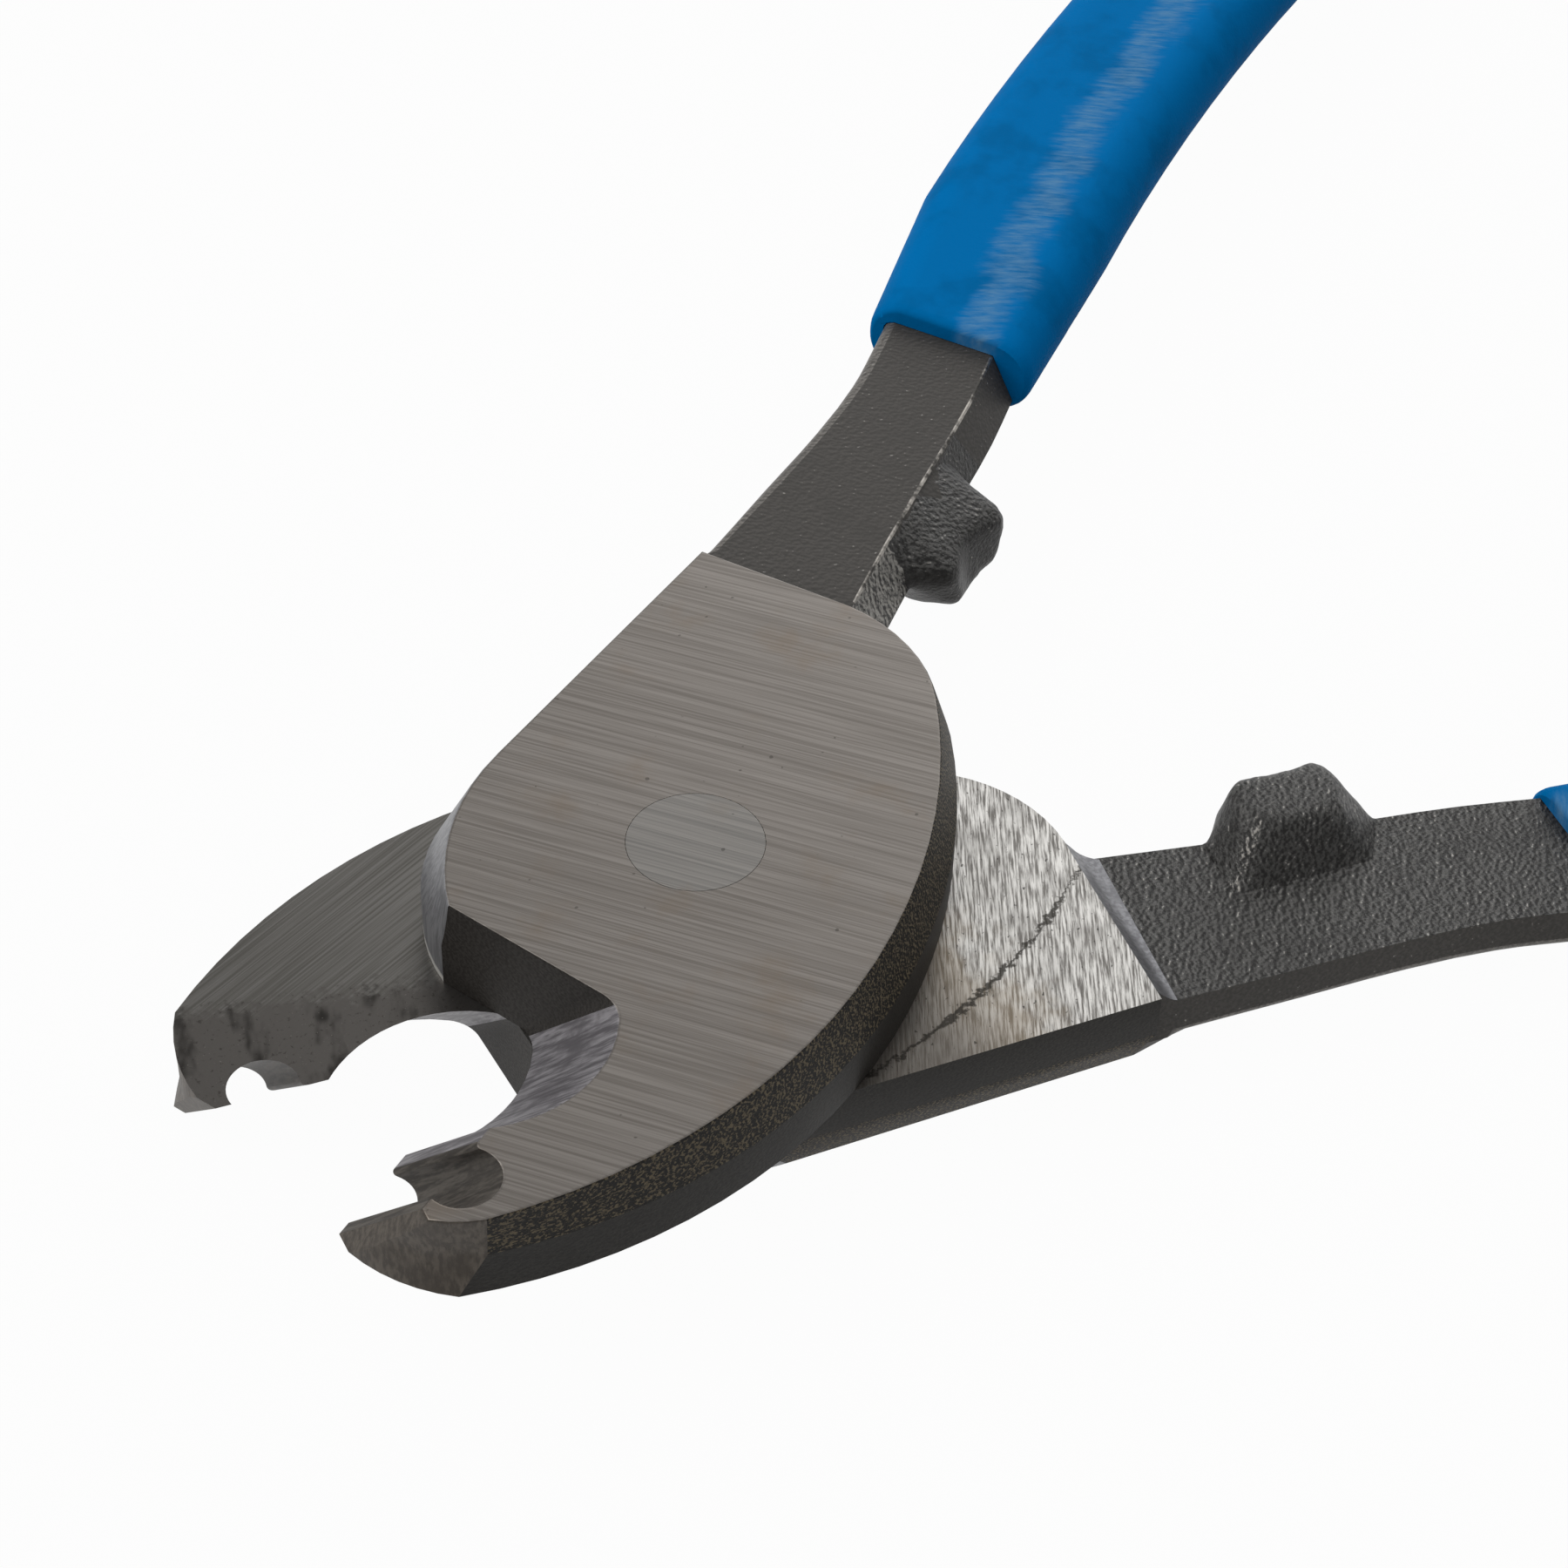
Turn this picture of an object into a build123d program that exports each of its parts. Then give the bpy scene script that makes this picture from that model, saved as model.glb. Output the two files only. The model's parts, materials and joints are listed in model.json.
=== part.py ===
from build123d import *
import os
from math import asin, cos, degrees, hypot, radians, sin, sqrt

# A hand cable cutter: two equal forged levers crossed on one flush rivet, with dipped
# vinyl grips. A lever is drawn in its closed pose: pivot on the Z axis, sliding face at
# z = 0, ground outer face above it, handle towards +X and on the +Y side.
# Lengths are millimetres and angles are degrees.

# Assembly
half_thickness = 5.8  # head of one lever, sliding face to ground outer face
blade_gap = 0.02  # running gap between the two sliding faces
rest_opening = 20.2  # angle that each lever stands open in the stored pose

# Head outline at the sliding face
jaw_reach = 27.0  # pivot to the end of the jaw
jaw_back = -2.7  # level of the outer corner of the jaw's end
jaw_end_bulge = 0.65  # rise of the jaw's rounded end over its corners
belly = (-4.0, -12.5)  # lowest point of the rounded back
shoulder = (16.7, -6.0)  # where the back turns up to the neck
nape = (20.3, 1.7)  # head meets the neck's inner edge
back_corner = (20.3, 12.75)  # head meets the neck's outer edge
back_end = (-1.5, 13.5)  # straight back edge turns into the heel
heel_level = 7.8
heel_overhang = 0.3  # heel corner behind the throat's wall

# Forged rim: an upright trimmed band, then draft up to the ground face
band_height = 2.6
band_shift = {"tip_outer": (1.0, -1.03)}  # the jaw's end leans back along the rim
crown_shift = {
    "tip_outer": (0.5, -1.4),
    "tip_inner": (-0.3, 0.0),
    "tip_end": (-0.5, -1.4),
    "belly": (-1.0, 0.75),
    "shoulder": (-0.9, 0.6),
    "nape": (-0.25, 0.3),
    "back_corner": (-0.25, -1.65),
    "back_end": (2.0, -1.5),
    "heel": (-0.2, -0.2),
}

# Cutting profile: a hooked throat, a tooth and a round wire notch
land_height = 4.15  # level of the tooth and of the jaw's end
notch_radius = 1.8
notch_inset = 3.5  # jaw's end to the notch's centre
notch_level = 3.58
tooth_width = 1.41  # land between the notch and the hook
tooth_round = 0.35  # tooth's corner towards the notch
tip_trim = 0.35  # land lost where the jaw's end is ground off
tip_slope = 1.45  # drop of that grind for each mm along the jaw
hook_radius = 6.95
hook_level = 8.55
throat_share = 0.62  # throat wall behind the hook's centre, as a share of its radius
throat_fillet = 2.2
bevel_lean = (-0.13, -0.935)  # sideways run of the ground bevel for each mm of height

# Handle: a forged bar that leaves the head, then a bowed tang inside the grip
bar_inner_face = 1.25  # height of the face towards the other lever
bar_thickness = 2.7
tang_width = 8.6
ridge_inset = 1.5  # draft of the bar's inner side
bow_radius = 250.0
bow_apex = (96.0, 14.3)  # furthest point of the bow from the closed tool's middle line
tang_start = 43.5  # X where the bar becomes the bowed tang
tang_end = 132.5
neck_outer = ((17.0, 12.0), (29.0, 12.15))
neck_inner = ((17.0, 0.4), (25.5, 1.85), (34.0, 3.05))
neck_start = (-1.0, -0.2)  # direction of the inner edge where it runs into the head
step_slope = 1.1  # slope from the sliding face to the bar
ramp_lean = (0.85, 0.45)  # spread of the slope from the ground face for each mm down
ramp_side = 0.9  # ramp's inner edge, from the start of the bar's top edge

# Stop lug on the bar's inner edge: the two lugs meet when the tool is closed
stop_gap = 0.05  # lug face to the closed tool's middle plane
lug_drop = 1.25  # reach past the sliding face
lug_crest = ((30.0, 4.3), (29.5, 2.6), (30.2, 0), (35.1, 0), (35.5, 1.2), (34.5, 4.3))
lug_base = ((27.8, 6.2), (27.7, 2.15), (29.6, 0), (36.3, 0), (37.5, 3.4), (35.8, 6.2))
lug_merge = ((28.4, 7.6), (28.6, 5.0), (30.2, 4.4), (35.8, 5.3), (37.6, 6.0), (37.0, 7.8))
lug_wall_top = 1.9  # height where the contact face ends
lug_round = 0.7  # corners of the lug
lug_edge = 0.5  # edge of its crest

# Rivet, flush at both ends
rivet_shank = 5.6
rivet_head = 7.0
rivet_head_depth = 0.9
rivet_clearance = 0.03

# Grip, a closed sleeve of dipped vinyl over the tang
grip_start = 46.6  # X of the grip's open end
grip_end = 138.0  # X of the grip's closed end
grip_width = 12.4
grip_thickness = 6.2
lip_width = 10.6  # the vinyl thins towards the open end
lip_thickness = 4.8
lip_run = 14.0  # length over which the grip swells from its lip
lip_trim = 1.0  # length trimmed off square at the lip
grip_corner = 2.3  # corner radius of the lip's section
blind_round = 2.4  # rounding of the closed end
grip_clearance = 0.05

bar_outer_face = bar_inner_face + bar_thickness
notch_centre = (notch_inset - jaw_reach, notch_level)
notch_chord = sqrt(notch_radius**2 - (land_height - notch_level) ** 2)  # half of it
hook_chord = sqrt(hook_radius**2 - (hook_level - land_height) ** 2)  # half of it
tooth_corner = (notch_centre[0] + notch_chord, land_height)
hook_centre = (tooth_corner[0] + tooth_width + hook_chord, hook_level)
throat_corner = (
    hook_centre[0] + throat_share * hook_radius,
    hook_level - sqrt(1 - throat_share**2) * hook_radius,
)
far = 60.0  # half size of cutting shapes, beyond the part


def shifted(point, shift):
    """A point of the head's outline, moved from the sliding face to another level."""
    return (point[0] + shift[0], point[1] + shift[1])


def head_face(shifts):
    """The head's outline at one level, drawn at z = 0, from its shifts off the sliding face."""
    points = {
        "tip_outer": (jaw_end_bulge - jaw_reach, jaw_back),
        "tip_inner": (jaw_end_bulge - jaw_reach, land_height),
        "tip_end": (-jaw_reach, (jaw_back + land_height) / 2),
        "belly": belly,
        "shoulder": shoulder,
        "nape": nape,
        "back_corner": back_corner,
        "back_end": back_end,
        "heel": (throat_corner[0] + heel_overhang, heel_level),
    }
    points = {name: shifted(point, shifts.get(name, (0, 0))) for name, point in points.items()}
    jaw_arc = TangentArc(points["belly"], points["tip_outer"], tangent=(-1, 0))
    rear_back = TangentArc(points["belly"], points["shoulder"], tangent=(1, 0))
    corner = TangentArc(points["shoulder"], points["nape"], tangent=rear_back % 1)
    rear = Line(points["nape"], points["back_corner"])
    back = Line(points["back_corner"], points["back_end"])
    heel_round = TangentArc(points["back_end"], points["heel"], tangent=back % 1)
    mouth = Line(points["heel"], points["tip_inner"])
    jaw_end = ThreePointArc(points["tip_inner"], points["tip_end"], points["tip_outer"])
    return make_face([jaw_arc, rear_back, corner, rear, back, heel_round, mouth, jaw_end])


def head_blank():
    """The forged head before its cutting edge is ground."""
    foot = head_face({})
    band_top = Pos(Z=band_height) * head_face(band_shift)
    crown = Pos(Z=half_thickness) * head_face(crown_shift)
    return loft([foot, band_top], ruled=True) + loft([band_top, crown], ruled=True)


def wall_x(y):
    """X of the throat's back wall, which follows the bevel so that it stays upright."""
    return throat_corner[0] + (y - throat_corner[1]) * bevel_lean[0] / bevel_lean[1]


def edge_cutter():
    """The slanted prism that leaves the bevelled hook, tooth, notch and jaw end."""
    mouth = Pos(-far, land_height + far) * Rectangle(4 * far, 2 * far)
    hook = Pos(*hook_centre) * Circle(hook_radius)
    notch = Pos(*notch_centre) * Circle(notch_radius)
    tip_start = jaw_end_bulge - jaw_reach + tip_trim
    tip_foot = (tip_start - notch_inset, land_height - notch_inset * tip_slope)
    tip = make_face(Polyline((tip_start, land_height), tip_foot, (tip_foot[0], far), (tip_start, far), close=True))
    corners = [(wall_x(far), far), (-far, far), (-far, -far), (wall_x(-far), -far)]
    before_wall = make_face(Polyline(*corners, close=True))
    opening = (mouth + hook + notch + tip) & before_wall
    for corner, rounding in ((throat_corner, throat_fillet), (tooth_corner, tooth_round)):
        opening = fillet(opening.vertices().sort_by_distance((*corner, 0))[0], rounding)
    overrun = 1.0
    start = Pos(-overrun * bevel_lean[0], -overrun * bevel_lean[1], -overrun)
    slant = hypot(bevel_lean[0], bevel_lean[1], 1.0)
    height = half_thickness + 2 * overrun
    return extrude(start * opening, height * slant, dir=(*bevel_lean, 1.0))


def bow_angle(x):
    """Angle of the bow at x, measured from its apex."""
    return degrees(asin((x - bow_apex[0]) / bow_radius))


def bow_point(x, offset=0.0):
    """The point on the handle's bow that lies at x, moved outwards by offset."""
    angle = radians(bow_angle(x))
    reach = bow_radius + offset
    return (
        bow_apex[0] + reach * sin(angle),
        bow_apex[1] - bow_radius + reach * cos(angle),
    )


def bow_direction(x):
    """Unit direction of the bow at x, towards the grip's end."""
    angle = radians(bow_angle(x))
    return (cos(angle), -sin(angle))


def tang_face(inset, grow):
    """Plan of the bowed tang, with its inner side set in and all sides grown."""
    outer = tang_width / 2 + grow
    inner = -tang_width / 2 + inset - grow
    end = tang_end + grow
    middle = (tang_start + end) / 2
    outer_arc = ThreePointArc(*[bow_point(x, outer) for x in (tang_start, middle, end)])
    inner_arc = ThreePointArc(*[bow_point(x, inner) for x in (end, middle, tang_start)])
    return make_face([
        outer_arc,
        Line(outer_arc @ 1, inner_arc @ 0),
        inner_arc,
        Line(inner_arc @ 1, outer_arc @ 0),
    ])


def tang(grow=0.0):
    """The part of the bar inside the grip, or the pocket that holds it."""
    foot = Pos(Z=bar_inner_face - grow) * tang_face(0.0, grow)
    top = Pos(Z=bar_outer_face + grow) * tang_face(ridge_inset, grow)
    return loft([foot, top], ruled=True)


def neck_face(inset):
    """Plan of the bar between the head and the tang."""
    tang_outer = bow_point(tang_start, tang_width / 2)
    tang_inner = bow_point(tang_start, inset - tang_width / 2)
    along = bow_direction(tang_start)
    against = (-along[0], -along[1])
    inner_points = [(x, y + inset) for x, y in reversed(neck_inner)]
    outer_edge = Spline(*neck_outer, tang_outer, tangents=[(1, 0), along])
    inner_edge = Spline(tang_inner, *inner_points, tangents=[against, neck_start])
    return make_face([
        outer_edge,
        Line(outer_edge @ 1, inner_edge @ 0),
        inner_edge,
        Line(inner_edge @ 1, outer_edge @ 0),
    ])


def neck():
    """The forged bar that leaves the head, with draft on its inner side."""
    foot = Pos(Z=bar_inner_face) * neck_face(0.0)
    top = Pos(Z=bar_outer_face) * neck_face(ridge_inset)
    return loft([foot, top], ruled=True)


def ramp_face(height):
    """One level of the slope from the ground face down to the bar, started inside the head."""
    drop = half_thickness - height
    corner = shifted(back_corner, crown_shift["back_corner"])
    rear = corner[0] + drop * ramp_lean[0]
    side = corner[1] + drop * ramp_lean[1]
    inside = corner[0] - half_thickness
    edge = neck_inner[0][1] + ridge_inset + ramp_side
    outline = Polyline((inside, edge), (rear, edge), (rear, side), (inside, side), close=True)
    return Pos(Z=height) * make_face(outline)


def outer_ramp():
    """The slope above the bar, where it leaves the head's ground face."""
    return loft([ramp_face(bar_outer_face), ramp_face(half_thickness)], ruled=True)


def inner_slope(body):
    """Slope the step below the bar, where it leaves the sliding face."""
    step = (nape[0], (nape[1] + back_corner[1]) / 2, bar_inner_face)
    return chamfer(body.edges().filter_by(GeomType.LINE).sort_by_distance(step)[0], step_slope)


def lug_face(corners, height, rounding):
    """One level of the stop lug, set back from the closed tool's middle plane."""
    outline = make_face(Polyline(*[(x, y + stop_gap) for x, y in corners], close=True))
    return Pos(Z=height) * fillet(outline.vertices(), rounding)


def stop_lug():
    """The forged stop: sloping below the bar, upright at its contact face, merging above."""
    crest = lug_face(lug_crest, -lug_drop, lug_round)
    base = lug_face(lug_base, bar_inner_face, lug_round)
    wall_top = lug_face(lug_base, lug_wall_top, lug_round)
    merge = lug_face(lug_merge, bar_outer_face, lug_round)
    hanging = loft([crest, base], ruled=True)
    hanging = fillet(hanging.faces().sort_by(Axis.Z)[0].edges(), lug_edge)
    upright = extrude(base, lug_wall_top - bar_inner_face)
    return hanging + upright + loft([wall_top, merge], ruled=True)


def rivet(clearance=0.0):
    """The flush rivet, or the countersunk hole that takes it, centred on z = 0."""
    shank = rivet_shank / 2 + clearance
    head = rivet_head / 2 + clearance
    top = half_thickness + blade_gap / 2
    profile = make_face(Polyline(
        (0, -top),
        (head, -top),
        (shank, -top + rivet_head_depth),
        (shank, top - rivet_head_depth),
        (head, top),
        (0, top),
        close=True,
    ))
    return revolve(Plane.XZ * profile, Axis.Z)


def lever():
    """One forged lever in its closed pose."""
    forged = inner_slope(head_blank() + neck() + tang()) + outer_ramp() + stop_lug()
    return forged - edge_cutter() - Pos(Z=-blade_gap / 2) * rivet(rivet_clearance)


def grip_section(point, along, width, thickness, corner):
    """Rounded section of the grip at a point of its bow, square to the given direction."""
    middle = (bar_inner_face + bar_outer_face) / 2
    plane = Plane(
        origin=(*point, middle),
        x_dir=(-along[1], along[0], 0),
        z_dir=(*along, 0),
    )
    return plane * RectangleRounded(width, thickness, corner)


def full_section(x, inset=0.0):
    """The grip's section past its swell, set in on all sides."""
    corner = grip_corner + (grip_thickness - lip_thickness) / 2
    width = grip_width - 2 * inset
    thickness = grip_thickness - 2 * inset
    return grip_section(bow_point(x), bow_direction(x), width, thickness, corner - inset)


def blind_end():
    """The grip's closed end, rounded in three steps."""
    sections = []
    for angle in (0, 30, 60, 90):
        inset = blind_round * (1 - cos(radians(angle)))
        reach = blind_round * (1 - sin(radians(angle)))
        sections.append(full_section(grip_end - reach, inset))
    return loft(sections, ruled=True)


def grip():
    """The vinyl sleeve in the closed pose, trimmed at its lip, with a rounded blind end."""
    swell = grip_start + lip_run
    before_lip = bow_point(grip_start - lip_trim)
    lip = grip_section(before_lip, bow_direction(swell), lip_width, lip_thickness, grip_corner)
    full = full_section(swell)
    bow_axis = Axis((bow_apex[0], bow_apex[1] - bow_radius, 0), (0, 0, -1))
    sweep_angle = bow_angle(grip_end - blind_round) - bow_angle(swell)
    sleeve = loft([lip, full], ruled=True) + revolve(full, bow_axis, sweep_angle) + blind_end()
    trimmed_off = Pos(X=grip_start - far) * Box(2 * far, 2 * far, 2 * far)
    return sleeve - trimmed_off - tang(grip_clearance)


def upper_pose(piece):
    """Open a closed-pose piece into the upper lever's stored pose."""
    return Pos(Z=half_thickness + blade_gap) * (Rot(Z=rest_opening) * piece)


def lower_pose(piece):
    """Turn a closed-pose piece over and open it into the lower lever's stored pose."""
    return Pos(Z=half_thickness) * (Rot(Z=-rest_opening) * (Rot(X=180) * piece))


closed_lever = lever()
closed_grip = grip()
parts = {
    "upper_lever": upper_pose(closed_lever),
    "lower_lever": lower_pose(closed_lever),
    "upper_grip": upper_pose(closed_grip),
    "lower_grip": lower_pose(closed_grip),
    "pivot_rivet": Pos(Z=half_thickness + blade_gap / 2) * rivet(),
}

os.makedirs("parts", exist_ok=True)
for name, piece in parts.items():
    export_step(piece, f"parts/{name}.step")
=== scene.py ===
"""Looks of a hand cable cutter: two forged levers on a flush rivet, with dipped vinyl grips."""

import json
import math

import bpy
from mathutils import Matrix, Vector

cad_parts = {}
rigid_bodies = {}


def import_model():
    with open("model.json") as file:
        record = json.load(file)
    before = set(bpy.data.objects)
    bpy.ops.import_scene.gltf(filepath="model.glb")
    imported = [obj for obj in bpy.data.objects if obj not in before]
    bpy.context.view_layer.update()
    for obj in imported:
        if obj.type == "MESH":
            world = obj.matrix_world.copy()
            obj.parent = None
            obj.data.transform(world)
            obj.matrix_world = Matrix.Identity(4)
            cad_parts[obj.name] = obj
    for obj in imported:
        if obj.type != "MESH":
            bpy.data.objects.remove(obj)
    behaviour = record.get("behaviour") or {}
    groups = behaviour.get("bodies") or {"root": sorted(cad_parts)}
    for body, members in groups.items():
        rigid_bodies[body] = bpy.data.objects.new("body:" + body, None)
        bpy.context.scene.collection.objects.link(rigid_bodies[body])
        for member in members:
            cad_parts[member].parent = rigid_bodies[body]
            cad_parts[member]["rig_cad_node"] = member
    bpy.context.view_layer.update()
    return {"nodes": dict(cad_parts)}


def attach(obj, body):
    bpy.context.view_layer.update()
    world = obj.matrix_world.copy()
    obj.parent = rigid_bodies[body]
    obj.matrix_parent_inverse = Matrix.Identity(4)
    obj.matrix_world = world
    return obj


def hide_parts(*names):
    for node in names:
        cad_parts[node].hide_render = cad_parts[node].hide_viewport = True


bl_info = {
    "name": "Cable cutter",
    "version": (1, 0, 0),
    "blender": (4, 5, 0),
    "location": "3D View > Sidebar > Cutter",
    "description": "Builds the levers, the rivet, the grips and the stage of a hand cable cutter",
    "category": "Object",
}

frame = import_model()

MM = 0.001
BODY = {
    "upper_lever": "upper",
    "lower_lever": "lower",
    "upper_grip": "upper",
    "lower_grip": "lower",
}
REST_TURN = math.radians(20.2)  # angle that each lever stands open at rest
SLIDING_LEVEL = {"upper": 5.82, "lower": 5.8}  # height of each lever's sliding face, in mm

# Places on a closed lever, in mm. x runs from the pivot along the handle, y to the handle's outer
# side, and z from the sliding face to the ground face.
HEAD_THICKNESS = 5.8
HEAD_END = 20.6  # the ground face ends before this x
RIVET_REACH = 5.0  # the rivet's hole lies within this radius
JAW_END = -25.0  # the jaw's end face lies beyond this x
TOOTH_END = -21.3  # the tooth and the notch lie beyond this x
BEVEL_END = -8.5  # the cutting edge ends at this x
BEVEL_SIDE = -6.0  # and lies above this y
BEVEL_SLANT = Vector((-0.13, -0.935, 1.0)).normalized()  # line along the ground cutting bevel
HEEL_SIDE = 6.0  # the rounded heel lies above this y
STEP_START = 20.2  # the sliding face ends in a slope between these two x
STEP_END = 21.6
SLOPE_TOP = 1.2  # and below this z
BAR_LEVEL = 3.0  # the edges of the bar's outer face lie above this z
BAR_END = 60.0  # the grip hides the bar beyond this x
RIDGE_START = 22.0  # the ridge along the bar starts here
WRINKLED_END = 28.0  # the wrinkles beside the neck end here
FADE_STATIONS = (21.65, 22.4, 23.2, 24.1, 25.1)  # where the shoulder's rounding fades in
FADE_RUN = 4.0  # length that it would take to fade in from nothing
FADE_FLOOR = 0.3  # share of it at the first station
LUG_START = 27.5  # the stop lug lies between these two x
LUG_END = 37.7
LUG_SIDE = 6.4  # below this y
LUG_TOP = 3.8  # and below this z
LUG_CORNER = (27.4, 6.0, 1.25)  # a point on the lug's rubbed corner
LUG_CORNER_LINE = Vector((2.2, -1.9, -2.5)).normalized()  # the way that this corner runs
LUG_CORNER_REACH = 0.8  # how far the rubbing reaches from it
ARC_CENTRE = (-7.3, -23.7, 0.0)  # centre and radius of the dark arc on the rubbed steel
ARC_RADIUS = 38.8
BOW_CENTRE = (96.0, -235.7, 0.0)  # centre and radius of the handle's bow
BOW_RADIUS = 250.0
HAZE_OFFSET = -1.7  # the grip's whitened band lies this far outside the bow's line
LIP_CENTRE = (46.6, 9.4, 2.6)  # middle of the grip's open end
LIP_CORE = (6.4, 12.4)  # ends of the line that its outline stands round
LIP_INSIDE = 2.2  # distance from that line that its pocket doesn't reach
LIP_CUTS = (0.08, 0.2, 0.36, 0.56, 0.78)  # cuts along the lip's rounding, as shares of its length

# Making of the meshes
MERGING = 0.03 * MM  # points of a CAD node that are nearer than this become one
SLIVER = 0.001 * MM  # faces narrower than this are dropped
FLAT_ANGLE = math.radians(0.4)  # faces that turn less than this become one
SHARP_ANGLE = math.radians(24)  # edges that turn more than this may be rounded
SQUARE_ON = 0.98  # least share of a normal along an axis on a face that is square to it
LUG_KEPT = 0.6  # share of the lug's triangles that stay when its slivers are thinned out
LUG_FACET = 0.4 * MM  # longest edge of a facet of the lug
LUG_HALVINGS = 6
LUG_SMOOTHINGS = 25

# The stage, in metres
FLOOR_SIZE = 8.0
FLOOR_GAP = 0.05 * MM  # distance of the floor below the object
FLOOR_GLOW = 0.97  # share of white in the floor that the camera sees
SKY_TOP = 0.3  # height in the sky, as a share, below which it looks white
WHITE = (1.0, 1.0, 1.0, 1.0)
LAMP_AIM = Vector((0.02, 0, 0.006))
KEY_PLACE = (-0.35, 0.35, 0.5)
KEY_SIZE = 0.6
BACK_PLACE = (0.675, 0.45, 0.387)
BACK_SIZE = 0.7
CAMERA_RIGHT = Vector((0.75576, -0.65442, 0.02356))
CAMERA_UP = Vector((0.43330, 0.52673, 0.73131))


def linear(code):
    """Turn an sRGB hex colour into linear RGBA."""
    channels = [int(code[i : i + 2], 16) / 255 for i in (1, 3, 5)]
    steps = [c / 12.92 if c <= 0.04045 else ((c + 0.055) / 1.055) ** 2.4 for c in channels]
    return (*steps, 1.0)


def colour(name, code, description):
    """A colour that a user may change."""
    return bpy.props.FloatVectorProperty(
        name=name, description=description, subtype="COLOR", size=4, min=0.0, max=1.0,
        default=linear(code),
    )


def length(name, millimetres, description):
    """A length that a user may change."""
    return bpy.props.FloatProperty(
        name=name, description=description, subtype="DISTANCE", unit="LENGTH", min=0.0, precision=5,
        default=millimetres * MM,
    )


def power(name, watts, description):
    """A lamp's power that a user may change."""
    return bpy.props.FloatProperty(
        name=name, description=description, subtype="POWER", unit="POWER", min=0.0, default=watts
    )


class CutterShape(bpy.types.PropertyGroup):
    """Rounding of the edges, which the solids leave sharp."""

    head_edge: length("Head edge", 0.14, "Rounding of the ground face's rim")
    step_edge: length("Step edge", 0.7, "Rounding of the slope where the sliding face ends")
    bar_edge: length("Bar edge", 0.12, "Rounding of the forged bar's ridge")
    bar_shoulder: length("Bar shoulder", 0.75, "Rounding of the bar's outer edge")
    lip_edge: length("Lip edge", 0.35, "Rounding of the grip's open end, across")
    lip_run: length("Lip run", 0.9, "Rounding of the grip's open end, along")


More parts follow.
